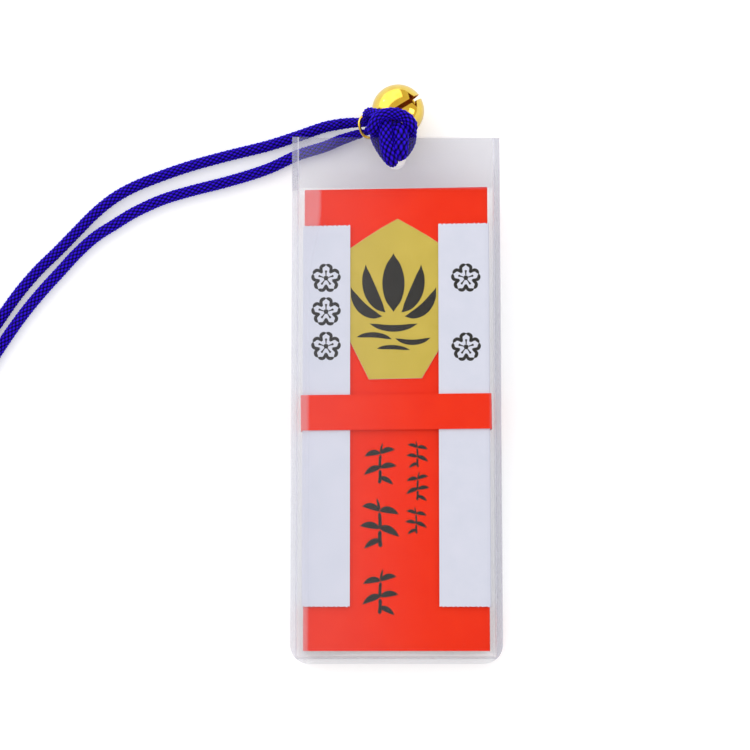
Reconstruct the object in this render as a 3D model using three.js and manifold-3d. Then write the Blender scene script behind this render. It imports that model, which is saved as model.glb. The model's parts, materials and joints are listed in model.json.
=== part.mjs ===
// Omamori charm: a folded paper amulet packet in a clear soft sleeve, hung on a braided
// cord with a small jingle bell. All sizes are millimetres, +Z is up, +Y runs towards the
// sleeve's open mouth and +X is the charm's right as it lies face up.
//
// The charm lies on its back. The sleeve's lower end touches the surface and its mouth is
// propped by the bell, which sits under the knot. The origin is at the middle of the
// footprint of everything but the free cord, on the surface.

import * as THREE from 'three';
import Module from 'manifold-3d';
import { mergeVertices } from 'three/addons/utils/BufferGeometryUtils.js';

const wasm = await Module();
wasm.setup();

// Clear sleeve
const sleeveCornerRadius = 2.8;
const filmThickness = 0.25;
const weldWidth = 0.9;
const weldGap = 0.06;
const pocketSideSlope = 0.52;
const pocketFootSlope = 0.36;
const pocketCornerRadius = 0.7;
const mouthTaper = 2.88;
const mouthGap = 0.3;
const mouthHeight = 8.0;
const cordHoleDiameter = 3.3;
const cordHoleFromMouth = 3.08;
const cordHoleOffset = -0.03;

// Paper packet
const packetWidth = 27.2;
const packetLength = 68.2;
const packetTravelUp = 1.9;
const packetTravelDown = 0.6;
const slipThickness = 1.5;
const slipCornerRadius = 1.0;
const slipEndRecess = 0.5;
const paperThickness = 0.16;
const layerGap = 0.04;
const seamOverlap = 5.0;
const wrapperFromFoot = 6.4;
const wrapperFromHead = 5.5;
const leftFlapEdge = 6.8;
const rightFlapEdge = 6.25;
const bandFromFoot = 32.2;
const bandWidth = 5.2;
const bandSlant = 0.6 * Math.PI / 180;
const bandSideGap = 0.08;

// Gold plaque under the flaps
const plaqueThickness = 0.1;
const plaqueHalfWidth = 8.6;
const plaqueFootHalfWidth = 4.0;
const plaqueFromHead = 4.6;
const plaqueHeadHeight = 5.5;
const plaqueSideHeight = 9.7;
const plaqueFootHeight = 8.7;
const plaqueSwellWidthShare = 0.62;
const plaqueSwellDropShare = 0.57;

// Cord
const cordDiameter = 1.8;
const cordInKnotDiameter = 1.45;
const cordTaperLength = 4.0;
const cordJointGap = 0.3;

// Knot in the cord's two ends
const knotRadius = 2.6;
const knotLength = 6.4;
const knotShoulderLength = 1.5;
const knotRidgeHeight = 0.35;
const knotTurns = 1.6;
const knotEntryLength = 1.4;
const knotTailLength = 7.0;

// Bell, its shackle and jump ring
const bellAside = 0.37;
const bellBeyondMouth = 5.57;
const bellDiameter = 8.0;
const bellWall = 0.35;
const slotWidth = 0.7;
const slotHalfSpan = 88 * Math.PI / 180;
const wedgeWidth = 1.4;
const wedgeHalfSpan = 19 * Math.PI / 180;
const pelletDiameter = 2.4;
const pelletGap = 0.2;
const shackleWire = 0.45;
const shackleWidth = 1.95;
const shackleSeatGap = 0.06;
const shackleReach = 0.75;
const ringWire = 0.45;
const ringDiameter = 3.95;
const ringButtGap = 0.12;

// One overrun carries every cutter past what it cuts
const overrun = 2.0;

// Colours and finishes
const finishes = {
  film: { color: 0xe4e4ee, roughness: 0.12, metalness: 0, transparent: true, opacity: 0.35 },
  slip: { color: 0xd9c49a, roughness: 0.75, metalness: 0 },
  redPaper: { color: 0xee4128, roughness: 0.62, metalness: 0 },
  whitePaper: { color: 0xdcdcea, roughness: 0.7, metalness: 0 },
  goldPaper: { color: 0xc8b455, roughness: 0.48, metalness: 0.35 },
  cord: { color: 0x2a0fc0, roughness: 0.6, metalness: 0 },
  gilt: { color: 0xe0b92c, roughness: 0.16, metalness: 1 },
  steel: { color: 0xb9b9bd, roughness: 0.3, metalness: 1 },
};

function solidMesh(name, geometry, finish) {
  const mesh = new THREE.Mesh(geometry, new THREE.MeshStandardMaterial(finish));
  mesh.name = name;
  return mesh;
}

// A closed three.js geometry as a solid that can be joined and cut, and back again
function toManifold(geometry) {
  const bare = geometry.clone();
  bare.deleteAttribute('normal');
  bare.deleteAttribute('uv');
  const merged = mergeVertices(bare, 1e-5);
  return new wasm.Manifold(new wasm.Mesh({
    numProp: 3,
    vertProperties: new Float32Array(merged.attributes.position.array),
    triVerts: new Uint32Array(merged.index.array),
  }));
}

function toGeometry(manifold) {
  const mesh = manifold.getMesh();
  const geometry = new THREE.BufferGeometry();
  geometry.setAttribute('position', new THREE.BufferAttribute(new Float32Array(mesh.vertProperties), 3));
  geometry.setIndex(new THREE.BufferAttribute(new Uint32Array(mesh.triVerts), 1));
  geometry.computeVertexNormals();
  return geometry;
}

// The same solid in a mirror that lies in the plane of X and Y
function mirrored(geometry) {
  const copy = geometry.clone().scale(1, 1, -1);
  const index = copy.index.array;
  for (let i = 0; i < index.length; i += 3) {
    [index[i], index[i + 1]] = [index[i + 1], index[i]];
  }
  copy.computeVertexNormals();
  return copy;
}

// A closed solid through loops of the same number of points, capped at both ends
function loftedSolid(loops) {
  const count = loops[0].length;
  const points = loops.flat();
  const faces = [];
  for (let ring = 0; ring + 1 < loops.length; ring += 1) {
    for (let i = 0; i < count; i += 1) {
      const a = ring * count + i;
      const b = ring * count + (i + 1) % count;
      faces.push(a, b, b + count, a, b + count, a + count);
    }
  }
  for (const [ring, turned] of [[0, true], [loops.length - 1, false]]) {
    const centre = new THREE.Vector3();
    loops[ring].forEach((point) => centre.addScaledVector(point, 1 / count));
    points.push(centre);
    for (let i = 0; i < count; i += 1) {
      const a = ring * count + i;
      const b = ring * count + (i + 1) % count;
      faces.push(points.length - 1, turned ? b : a, turned ? a : b);
    }
  }
  const geometry = new THREE.BufferGeometry().setFromPoints(points);
  geometry.setIndex(faces);
  geometry.computeVertexNormals();
  return geometry;
}

// A rounded rectangle as a loop of points at one height, anticlockwise from above
function roundedLoop({ left, right, bottom, top, radius, height }, cornerSteps = 4) {
  const corners = [
    [right - radius, top - radius, 0],
    [left + radius, top - radius, 1],
    [left + radius, bottom + radius, 2],
    [right - radius, bottom + radius, 3],
  ];
  const loop = [];
  for (const [x, y, quarter] of corners) {
    for (let i = 0; i <= cornerSteps; i += 1) {
      const angle = (quarter + i / cornerSteps) * Math.PI / 2;
      loop.push(new THREE.Vector3(x + radius * Math.cos(angle), y + radius * Math.sin(angle), height));
    }
  }
  return loop;
}

// A sheet of paper folded along straight lines: its path is drawn across the packet, as
// sideways place and height, and the sheet runs along the packet from bottom to top
function foldedSheet(path, thickness, bottom, top) {
  const half = thickness / 2;
  const sides = [[], []];
  path.forEach(([x, y], i) => {
    const before = path[Math.max(i - 1, 0)];
    const after = path[Math.min(i + 1, path.length - 1)];
    const here = new THREE.Vector2(x, y);
    const arriving = here.clone().sub(new THREE.Vector2(...before)).normalize();
    const leaving = new THREE.Vector2(...after).sub(here).normalize();
    const first = i === 0 ? leaving : arriving;
    const second = i === path.length - 1 ? arriving : leaving;
    const bisector = new THREE.Vector2(-first.y - second.y, first.x + second.x).normalize();
    const reach = half / bisector.dot(new THREE.Vector2(-first.y, first.x));
    sides[0].push(here.clone().addScaledVector(bisector, reach));
    sides[1].unshift(here.clone().addScaledVector(bisector, -reach));
  });
  const outline = new THREE.Shape([...sides[0], ...sides[1]]);
  const geometry = new THREE.ExtrudeGeometry(outline, { depth: top - bottom, bevelEnabled: false });
  geometry.rotateX(Math.PI / 2);
  geometry.translate(0, top, 0);
  return geometry;
}

// A round tube along a curve, with flat ends; the curve is a list of hand-chosen points
function curveThrough(points) {
  return new THREE.CatmullRomCurve3(points.map((point) => new THREE.Vector3(...point)), false, 'centripetal');
}

function roundSection(radius, sides) {
  const section = [];
  for (let i = 0; i < sides; i += 1) {
    const angle = 2 * Math.PI * (i + 0.5) / sides;
    section.push(new THREE.Vector2(radius * Math.cos(angle), radius * Math.sin(angle)));
  }
  return new THREE.Shape(section);
}

function tubeAlong(curve, diameter, steps, sides = 8) {
  return new THREE.ExtrudeGeometry(roundSection(diameter / 2, sides), {
    steps,
    extrudePath: curve,
    bevelEnabled: false,
  });
}

// A tube whose thickness changes along the curve, from rings of points
function taperedTube(curve, steps, diameterAt, sides = 8) {
  const frames = curve.computeFrenetFrames(steps, false);
  const length = curve.getLength();
  const loops = [];
  for (let i = 0; i <= steps; i += 1) {
    const centre = curve.getPointAt(i / steps);
    const radius = diameterAt(length * i / steps, length) / 2;
    const loop = [];
    for (let k = 0; k < sides; k += 1) {
      const angle = 2 * Math.PI * (k + 0.5) / sides;
      loop.push(centre.clone()
        .addScaledVector(frames.normals[i], radius * Math.cos(angle))
        .addScaledVector(frames.binormals[i], radius * Math.sin(angle)));
    }
    loops.push(loop);
  }
  return loftedSolid(loops);
}

// The layers of the packet, worked outwards from the slip; the front and the back are
// counted from the packet's middle plane
const slipHalf = slipThickness / 2;
const redInner = slipHalf + layerGap;
const redOuter = redInner + paperThickness;
const redLapOuter = redOuter + layerGap + paperThickness;
const plaqueInner = redOuter + layerGap;
const flapInner = plaqueInner + plaqueThickness + layerGap;
const flapOuter = flapInner + paperThickness;
const bandInner = flapOuter + layerGap;
const bandOuter = bandInner + paperThickness;
const whiteBackInner = redLapOuter + layerGap;
const whiteBackOuter = whiteBackInner + paperThickness;
const bandBackInner = whiteBackOuter + layerGap;
const bandBackOuter = bandBackInner + paperThickness;
const bandLapOuter = bandBackOuter + layerGap + paperThickness;

const pocketBottom = weldWidth + pocketFootSlope;
const packetBottom = pocketBottom + layerGap + packetTravelDown;
const packetTop = packetBottom + packetLength;
const redHalf = packetWidth / 2;
const whiteHalf = redHalf + layerGap + paperThickness;
const bandHalf = whiteHalf + bandSideGap + paperThickness;
const sheetMiddle = paperThickness / 2;

// Slip of thin board that carries the charm, wrapped in the papers
function slipGeometry() {
  const half = redHalf - paperThickness - layerGap;
  const loop = { left: -half, right: half, radius: slipCornerRadius };
  const ends = { bottom: packetBottom + slipEndRecess, top: packetTop - slipEndRecess };
  return loftedSolid([
    roundedLoop({ ...loop, ...ends, height: -slipHalf }),
    roundedLoop({ ...loop, ...ends, height: slipHalf }),
  ]);
}

// A sheet that goes once round the packet and laps over itself behind
function wrappedSheet(half, front, back, lap, bottom, top) {
  const side = half - sheetMiddle;
  return foldedSheet([
    [seamOverlap / 2, -back + sheetMiddle],
    [-side, -back + sheetMiddle],
    [-side, front - sheetMiddle],
    [side, front - sheetMiddle],
    [side, -lap + sheetMiddle],
    [-seamOverlap / 2, -lap + sheetMiddle],
  ], paperThickness, bottom, top);
}

function redWrapperGeometry() {
  return wrappedSheet(redHalf, redOuter, redOuter, redLapOuter, packetBottom, packetTop);
}

function whiteWrapperGeometry() {
  const side = whiteHalf - sheetMiddle;
  return foldedSheet([
    [-leftFlapEdge, flapOuter - sheetMiddle],
    [-side, flapOuter - sheetMiddle],
    [-side, -whiteBackOuter + sheetMiddle],
    [side, -whiteBackOuter + sheetMiddle],
    [side, flapOuter - sheetMiddle],
    [rightFlapEdge, flapOuter - sheetMiddle],
  ], paperThickness, packetBottom + wrapperFromFoot, packetTop - wrapperFromHead);
}

function redBandGeometry() {
  const geometry = wrappedSheet(bandHalf, bandOuter, bandBackOuter, bandLapOuter, 0, bandWidth);
  geometry.translate(0, -bandWidth / 2, 0);
  geometry.rotateZ(bandSlant);
  geometry.translate(0, packetBottom + bandFromFoot + bandWidth / 2, 0);
  return geometry;
}

// Plaque: a tablet with a pointed head, whose slanted edges swell a little, and a narrowed foot
function plaqueGeometry() {
  const apex = packetTop - plaqueFromHead;
  const shoulder = apex - plaqueHeadHeight;
  const hip = shoulder - plaqueSideHeight;
  const foot = hip - plaqueFootHeight;
  const swell = [plaqueHalfWidth * plaqueSwellWidthShare, apex - plaqueHeadHeight * plaqueSwellDropShare];
  const shape = new THREE.Shape();
  shape.moveTo(-plaqueFootHalfWidth, foot);
  shape.lineTo(plaqueFootHalfWidth, foot);
  shape.lineTo(plaqueHalfWidth, hip);
  shape.lineTo(plaqueHalfWidth, shoulder);
  shape.quadraticCurveTo(swell[0], swell[1], 0, apex);
  shape.quadraticCurveTo(-swell[0], swell[1], -plaqueHalfWidth, shoulder);
  shape.lineTo(-plaqueHalfWidth, hip);
  shape.closePath();
  const options = { depth: plaqueThickness, bevelEnabled: false, curveSegments: 5 };
  const geometry = new THREE.ExtrudeGeometry(shape, options);
  geometry.translate(0, 0, plaqueInner);
  return geometry;
}

// Sleeve: two films welded along three sides. Each is flat over the packet, falls steeply
// to the weld beside it and tapers to the mouth, where the cord gathers both.
const pocketHalf = bandHalf + layerGap;
const weldHalf = pocketHalf + pocketSideSlope;
const sleeveHalf = weldHalf + weldWidth;
const pocketTop = packetTop + packetTravelUp + layerGap;
const taperTop = pocketTop + mouthTaper;
const sleeveLength = taperTop + cordHoleFromMouth;
const pocketFront = bandOuter + layerGap;
const pocketBack = bandLapOuter + layerGap;

function sleeveOutline() {
  const half = sleeveHalf;
  const radius = sleeveCornerRadius;
  const shape = new THREE.Shape();
  shape.moveTo(-half, sleeveLength);
  shape.lineTo(-half, radius);
  shape.absarc(-half + radius, radius, radius, Math.PI, 1.5 * Math.PI);
  shape.absarc(half - radius, radius, radius, 1.5 * Math.PI, 2 * Math.PI);
  shape.lineTo(half, sleeveLength);
  shape.closePath();
  return shape;
}

function cordHoleCutter(depth) {
  const cutter = new THREE.CylinderGeometry(cordHoleDiameter / 2, cordHoleDiameter / 2, depth, 24);
  cutter.rotateX(Math.PI / 2);
  cutter.translate(cordHoleOffset, sleeveLength - cordHoleFromMouth, 0);
  return toManifold(cutter);
}

// A film on the front side of the weld, over a pocket of the given depth
function filmSolid(depth) {
  const floor = weldGap / 2;
  const flange = new THREE.ExtrudeGeometry(sleeveOutline(), {
    depth: filmThickness, bevelEnabled: false, curveSegments: 5,
  });
  flange.translate(0, 0, floor);
  const pocket = (grow, base, height) => loftedSolid([
    roundedLoop({
      left: -weldHalf - grow, right: weldHalf + grow,
      bottom: weldWidth - grow, top: taperTop + grow,
      radius: pocketCornerRadius + grow, height: base,
    }),
    roundedLoop({
      left: -weldHalf - grow, right: weldHalf + grow,
      bottom: weldWidth - grow, top: taperTop + grow,
      radius: pocketCornerRadius + grow, height: floor + grow,
    }),
    roundedLoop({
      left: -pocketHalf - grow / 2, right: pocketHalf + grow / 2,
      bottom: pocketBottom - grow / 2, top: pocketTop + grow / 2,
      radius: pocketCornerRadius, height,
    }),
  ]);
  const mouth = (grow, base, height, end) => loftedSolid([base, height].map((level) => roundedLoop({
    left: -weldHalf - grow, right: weldHalf + grow,
    bottom: pocketTop - grow, top: end, radius: pocketCornerRadius, height: level,
  })));
  const mouthEnd = sleeveLength + overrun;
  return toManifold(flange)
    .add(toManifold(pocket(filmThickness, floor + filmThickness / 2, depth + filmThickness)))
    .add(toManifold(mouth(filmThickness, floor + filmThickness / 2, mouthGap / 2 + filmThickness, mouthEnd))
      .intersect(toManifold(mouthTrim())))
    .subtract(toManifold(pocket(0, -overrun, depth)))
    .subtract(toManifold(mouth(0, -overrun, mouthGap / 2, mouthEnd)))
    .subtract(cordHoleCutter(2 * (depth + overrun)));
}

// The block of the sleeve's own length, which ends the film square at the mouth
function mouthTrim() {
  const trim = new THREE.BoxGeometry(2 * sleeveHalf, sleeveLength, 2 * overrun);
  trim.translate(0, sleeveLength / 2, 0);
  return trim;
}

function frontFilmGeometry() {
  return toGeometry(filmSolid(pocketFront));
}

function backFilmGeometry() {
  return mirrored(toGeometry(filmSolid(pocketBack)));
}

// Rest: the back film's lower end touches the surface and the mouth is held at its height
const backDepth = pocketBack + filmThickness;
const heelToMouth = sleeveLength - pocketBottom + filmThickness / 2;
const heelReach = Math.hypot(backDepth, heelToMouth);
const restTilt = Math.asin(mouthHeight / heelReach) - Math.atan2(backDepth, heelToMouth);
const sleeveLift = mouthHeight - sleeveLength * Math.sin(restTilt);
const mouthPlace = sleeveLength * Math.cos(restTilt);

// Bell, with its middle and the place of its parts measured from the foot of the mouth's
// middle. Its slotted end looks up to the right. Its shackle is on the other side, down to
// the left, and stands a little off the slots' axis so that it clears the surface.
const bellRadius = bellDiameter / 2;
const bellMiddle = new THREE.Vector3(bellAside, bellBeyondMouth, bellRadius);
const slotPole = new THREE.Vector3(0.56, 0.18, 0.81).normalize();
const slotAlong = new THREE.Vector3(0.63, 0.54, -0.56);
const shackleAway = new THREE.Vector3(-0.72, -0.44, -0.54).normalize();

function frameFrom(along, across) {
  const x = across.clone().addScaledVector(along, -across.dot(along)).normalize();
  const y = along.clone().cross(x);
  return new THREE.Matrix4().makeBasis(x, y, along);
}

function bellShellGeometry() {
  const inner = bellRadius - bellWall;
  const shell = toManifold(new THREE.SphereGeometry(bellRadius, 32, 20))
    .subtract(toManifold(new THREE.SphereGeometry(inner, 24, 16)));
  const base = bellRadius * Math.cos(slotHalfSpan);
  const sawReach = bellRadius + overrun;
  const slotShape = new THREE.Shape([
    new THREE.Vector2(-sawReach, -slotWidth / 2), new THREE.Vector2(sawReach, -slotWidth / 2),
    new THREE.Vector2(sawReach, slotWidth / 2), new THREE.Vector2(-sawReach, slotWidth / 2),
  ]);
  const wedgeReach = bellRadius * Math.sin(wedgeHalfSpan);
  const wedgeShape = new THREE.Shape([
    new THREE.Vector2(0, -wedgeReach), new THREE.Vector2(wedgeWidth / 2, 0),
    new THREE.Vector2(0, wedgeReach), new THREE.Vector2(-wedgeWidth / 2, 0),
  ]);
  const options = { depth: sawReach, bevelEnabled: false };
  const cutters = [slotShape, wedgeShape].map((shape) => {
    const cutter = new THREE.ExtrudeGeometry(shape, options);
    cutter.translate(0, 0, base);
    return toManifold(cutter);
  });
  const geometry = toGeometry(cutters.reduce((body, cutter) => body.subtract(cutter), shell));
  geometry.applyMatrix4(frameFrom(slotPole, slotAlong));
  geometry.translate(bellMiddle.x, bellMiddle.y, bellMiddle.z);
  return geometry;
}

function pelletGeometry() {
  const radius = pelletDiameter / 2;
  const geometry = new THREE.SphereGeometry(radius, 16, 10);
  const drop = bellRadius - bellWall - pelletGap - radius;
  geometry.translate(bellMiddle.x, bellMiddle.y, bellMiddle.z - drop);
  return geometry;
}

// The ring hangs in the shackle's eye and holds both strands of the cord
const eyeMiddle = bellMiddle.clone().addScaledVector(shackleAway, bellRadius + shackleReach);
const ringRadius = (ringDiameter - ringWire) / 2;
const ringAcross = new THREE.Vector3(-0.70, -0.01, 0.71).normalize();
const ringMiddle = eyeMiddle.clone().addScaledVector(ringAcross, ringRadius);
const ringAlong = new THREE.Vector3(0, 1, 0).addScaledVector(ringAcross, -ringAcross.y).normalize();
const ringAxis = ringAcross.clone().cross(ringAlong);

function shackleGeometry() {
  const half = (shackleWidth - shackleWire) / 2;
  const frame = frameFrom(shackleAway, ringAcross);
  const eye = bellRadius + shackleReach;
  const legFoot = bellRadius - shackleWire;
  const arcSteps = 8;
  const points = [[half, 0, legFoot], [half, 0, (legFoot + eye) / 2]];
  for (let i = 0; i <= arcSteps; i += 1) {
    const angle = Math.PI * i / arcSteps;
    points.push([half * Math.cos(angle), 0, eye + half * Math.sin(angle)]);
  }
  points.push([-half, 0, (legFoot + eye) / 2], [-half, 0, legFoot]);
  const seat = new THREE.SphereGeometry(bellRadius + shackleSeatGap, 32, 20);
  const loop = toManifold(tubeAlong(curveThrough(points), shackleWire, 22)).subtract(toManifold(seat));
  const geometry = toGeometry(loop);
  geometry.applyMatrix4(frame);
  geometry.translate(bellMiddle.x, bellMiddle.y, bellMiddle.z);
  return geometry;
}

function ringGeometry() {
  const steps = 26;
  const openAngle = ringButtGap / ringRadius;
  const buttAt = 0.7 * Math.PI;
  const points = [];
  for (let i = 0; i <= steps; i += 1) {
    const angle = buttAt + openAngle / 2 + (2 * Math.PI - openAngle) * i / steps;
    const point = ringMiddle.clone()
      .addScaledVector(ringAcross, ringRadius * Math.cos(angle))
      .addScaledVector(ringAlong, ringRadius * Math.sin(angle));
    points.push(point.toArray());
  }
  return tubeAlong(curveThrough(points), ringWire, steps);
}

// Cord: one braided cord, doubled. Its bend goes behind the films and out through the hole,
// and both strands pass back through the bend, a lark's head. They leave to the left side
// by side through the ring. Places are measured from the foot of the mouth's middle.
const hitchRoute = [
  [-8.0, 4.3, 1.5], [-6.7, 4.4, 1.7], [-5.4, 4.28, 2.15], [-4.52, 4.14, 2.95], [-4.28, 4.24, 4.0], [-4.38, 4.55, 5.2],
  [-4.05, 4.65, 6.2], [-3.35, 4.2, 7.2], [-2.45, 3.25, 8.15], [-1.75, 2.15, 8.75], [-1.5, 1.15, 9.1], [-1.47, 0.1, 9.3],
  [-1.34, -1.2, 9.25], [-1.0, -2.5, 9.08], [-0.63, -3.44, 8.6], [-0.48, -3.72, 7.75], [-0.68, -3.5, 6.9], [-1.2, -2.85, 6.45],
  [-2.0, -1.75, 6.4], [-2.7, -0.6, 6.55], [-3.08, 0.2, 6.7], [-3.25, 0.85, 7.3], [-3.3, 1.15, 8.2], [-3.25, 1.5, 9.2],
  [-2.85, 2.4, 10.0], [-1.75, 3.0, 10.2], [-0.4, 3.2, 9.9], [0.95, 2.95, 9.55], [1.9, 2.3, 9.3], [2.32, 1.6, 8.95],
  [2.42, 1.15, 8.2], [2.42, 0.85, 7.3], [2.38, 0.2, 6.7], [2.2, -0.5, 6.6], [1.75, -1.3, 6.42], [1.15, -2.1, 6.4],
  [0.68, -2.56, 6.9], [0.55, -2.67, 7.75], [0.6, -2.46, 8.6], [0.7, -1.8, 9.1], [0.74, -0.9, 9.2], [0.7, 0.1, 9.25],
  [0.42, 1.0, 8.65], [-0.4, 1.68, 7.6], [-1.65, 2.1, 6.95], [-2.75, 2.5, 6.3], [-3.55, 2.72, 5.2], [-3.9, 2.74, 3.9],
  [-4.3, 2.68, 2.75], [-5.1, 2.68, 1.75], [-6.2, 2.6, 1.15], [-7.4, 2.25, 0.92], [-8.4, 1.9, 0.9],
];
const upperRoute = [
  [-8.3, 4.28, 1.46], [-9.4, 4.2, 1.15], [-10.7, 4.0, 0.95], [-15.4, 2.35, 0.9], [-19.6, 0.95, 0.9],
  [-25.4, -0.55, 0.9], [-31.2, -2.2, 0.9], [-35.6, -3.75, 0.9], [-40.0, -5.6, 0.9],
  [-42.9, -7.3, 0.9], [-45.7, -9.65, 0.9], [-48.5, -12.65, 0.9], [-51.3, -15.7, 0.9],
  [-54.2, -18.7, 0.9], [-57.0, -22.2, 0.9], [-59.7, -26.3, 0.9], [-62.2, -30.4, 0.9],
  [-64.3, -34.8, 0.9], [-65.8, -39.4, 0.9], [-66.7, -44.0, 1.1], [-67.1, -48.2, 1.9], [-67.25, -51.0, 2.6],
];
const lowerRoute = [
  [-8.69, 1.8, 0.9], [-10.65, 0.9, 0.9], [-14.9, -0.5, 0.9], [-19.5, -2.7, 0.9], [-25.4, -4.65, 0.9],
  [-31.2, -6.2, 0.9], [-35.5, -7.55, 0.9], [-39.9, -9.65, 0.9], [-42.7, -11.45, 0.9],
  [-45.6, -13.4, 0.9], [-48.3, -15.95, 0.9], [-50.9, -18.95, 0.9], [-53.6, -22.1, 0.9],
  [-56.2, -25.5, 0.9], [-58.6, -29.1, 0.9], [-60.8, -32.8, 0.9], [-62.6, -36.6, 0.9],
  [-63.9, -40.6, 0.9], [-64.75, -44.6, 1.1], [-65.15, -48.3, 1.9], [-65.3, -51.0, 2.6],
];

function cordHitchGeometry() {
  const curve = curveThrough(hitchRoute);
  return taperedTube(curve, 88, (place, length) => {
    const fromEnd = Math.min(place, length - place);
    const eased = THREE.MathUtils.smoothstep(fromEnd, 0, cordTaperLength);
    return THREE.MathUtils.lerp(cordDiameter, cordInKnotDiameter, eased);
  });
}

function strandGeometry(route, steps) {
  return tubeAlong(curveThrough(route), cordDiameter, steps);
}

// The knot in both ends, drawn as one solid: the strands go in side by side, are wound
// round each other in a barrel and leave as a short double tail that droops to the surface
function endKnotGeometry() {
  const { smoothstep, lerp } = THREE.MathUtils;
  const sides = 20;
  const stations = 34;
  const barrelEnd = knotEntryLength + knotLength;
  const total = barrelEnd + knotTailLength;
  const loops = [];
  for (let i = 0; i <= stations; i += 1) {
    const place = total * i / stations;
    const swell = smoothstep(place, knotEntryLength, knotEntryLength + knotShoulderLength)
      - smoothstep(place, barrelEnd - knotShoulderLength, barrelEnd);
    const droop = smoothstep(place, barrelEnd - knotShoulderLength, barrelEnd + knotTailLength / 2);
    const halfWidth = lerp(cordDiameter, knotRadius, swell);
    const halfHeight = lerp(cordDiameter / 2, knotRadius, swell);
    const rise = lerp(knotRadius, cordDiameter / 2, droop);
    const loop = [];
    for (let k = 0; k < sides; k += 1) {
      const angle = 2 * Math.PI * k / sides;
      const wind = 2 * (angle - 2 * Math.PI * knotTurns * place / knotLength);
      const hollow = swell * (knotRidgeHeight / knotRadius) * (1 - Math.cos(wind)) / 2;
      loop.push(new THREE.Vector3(
        -halfWidth * (1 - hollow) * Math.cos(angle),
        place,
        rise + halfHeight * (1 - hollow) * Math.sin(angle),
      ));
    }
    loops.push(loop);
  }
  const ends = [upperRoute, lowerRoute].map((route) => new THREE.Vector3(...route.at(-1)));
  const middle = ends[0].clone().add(ends[1]).multiplyScalar(0.5);
  const across = ends[1].clone().sub(ends[0]);
  const geometry = loftedSolid(loops);
  geometry.translate(0, cordJointGap, 0);
  geometry.rotateZ(Math.PI + Math.atan2(across.y, across.x));
  geometry.translate(middle.x, middle.y, 0);
  return geometry;
}

// The least distance between stretches of a cord that lie apart along it, less its
// thickness, measured on points
function leastGap(route, thickness) {
  const spacing = cordInKnotDiameter / 12;
  const curve = curveThrough(route);
  const count = Math.round(curve.getLength() / spacing);
  const points = curve.getSpacedPoints(count);
  const apart = Math.round(2 * thickness / spacing);
  let least = Infinity;
  for (let i = 0; i < points.length; i += 1) {
    for (let k = i + apart; k < points.length; k += 1) {
      least = Math.min(least, points[i].distanceTo(points[k]));
    }
  }
  return least - thickness;
}
console.log(`least gap of the hitch to itself: ${leastGap(hitchRoute, cordInKnotDiameter).toFixed(3)} mm`);

// Assembly
const sleeve = new THREE.Group();
sleeve.rotation.x = restTilt;
sleeve.position.z = sleeveLift;
sleeve.add(
  solidMesh('sleeve_front_film', frontFilmGeometry(), finishes.film),
  solidMesh('sleeve_back_film', backFilmGeometry(), finishes.film),
  solidMesh('talisman_slip', slipGeometry(), finishes.slip),
  solidMesh('red_wrapper', redWrapperGeometry(), finishes.redPaper),
  solidMesh('gold_plaque', plaqueGeometry(), finishes.goldPaper),
  solidMesh('white_wrapper', whiteWrapperGeometry(), finishes.whitePaper),
  solidMesh('red_band', redBandGeometry(), finishes.redPaper),
);

const hanging = new THREE.Group();
hanging.position.y = mouthPlace;
hanging.add(
  solidMesh('cord_hitch', cordHitchGeometry(), finishes.cord),
  solidMesh('cord_strand_upper', strandGeometry(upperRoute, 34), finishes.cord),
  solidMesh('cord_strand_lower', strandGeometry(lowerRoute, 32), finishes.cord),
  solidMesh('cord_end_knot', endKnotGeometry(), finishes.cord),
  solidMesh('bell_shell', bellShellGeometry(), finishes.gilt),
  solidMesh('bell_shackle', shackleGeometry(), finishes.gilt),
  solidMesh('bell_pellet', pelletGeometry(), finishes.steel),
  solidMesh('bell_ring', ringGeometry(), finishes.gilt),
);

const charm = new THREE.Group();
const footprintLength = mouthPlace + bellMiddle.y + bellRadius;
charm.position.y = -footprintLength / 2;
charm.add(sleeve, hanging);

export default charm;
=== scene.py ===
# Omamori charm: a folded paper packet in a clear soft sleeve, hung on a doubled braided
# cord with a small gilt jingle bell. Everything is in metres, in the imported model's frame.

import json
import math

import bmesh
import bpy
import numpy as np
from mathutils import Matrix, Vector
from mathutils.geometry import interpolate_bezier


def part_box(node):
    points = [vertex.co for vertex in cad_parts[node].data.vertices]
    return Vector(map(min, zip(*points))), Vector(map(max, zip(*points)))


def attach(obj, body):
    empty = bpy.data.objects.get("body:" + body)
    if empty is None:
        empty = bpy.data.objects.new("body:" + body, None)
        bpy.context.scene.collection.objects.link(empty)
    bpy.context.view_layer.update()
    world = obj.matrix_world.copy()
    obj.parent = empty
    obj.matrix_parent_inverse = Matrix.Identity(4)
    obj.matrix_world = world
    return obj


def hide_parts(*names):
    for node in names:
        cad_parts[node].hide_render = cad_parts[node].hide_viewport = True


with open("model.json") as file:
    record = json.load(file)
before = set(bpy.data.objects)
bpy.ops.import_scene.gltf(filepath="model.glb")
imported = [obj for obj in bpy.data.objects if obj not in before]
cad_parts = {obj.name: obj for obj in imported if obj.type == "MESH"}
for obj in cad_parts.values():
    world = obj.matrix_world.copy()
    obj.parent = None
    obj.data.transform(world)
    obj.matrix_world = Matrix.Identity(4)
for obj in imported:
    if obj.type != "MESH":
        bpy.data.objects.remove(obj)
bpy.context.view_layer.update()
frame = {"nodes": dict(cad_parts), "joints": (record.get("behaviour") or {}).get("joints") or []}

# Camera: it stands almost straight above the charm and a little towards its foot, as in
# the photograph, with a long lens and no shift.
camera_lens = bpy.data.cameras.new("camera")
camera_lens.sensor_width = 36
camera_lens.lens = 94.6
camera_lens.clip_start = 0.01
camera = bpy.data.objects.new("camera", camera_lens)
camera.location = (-0.00313, -0.05518, 0.2915)
camera.rotation_euler = (math.radians(10.62), 0, 0)
bpy.context.scene.collection.objects.link(camera)
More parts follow.
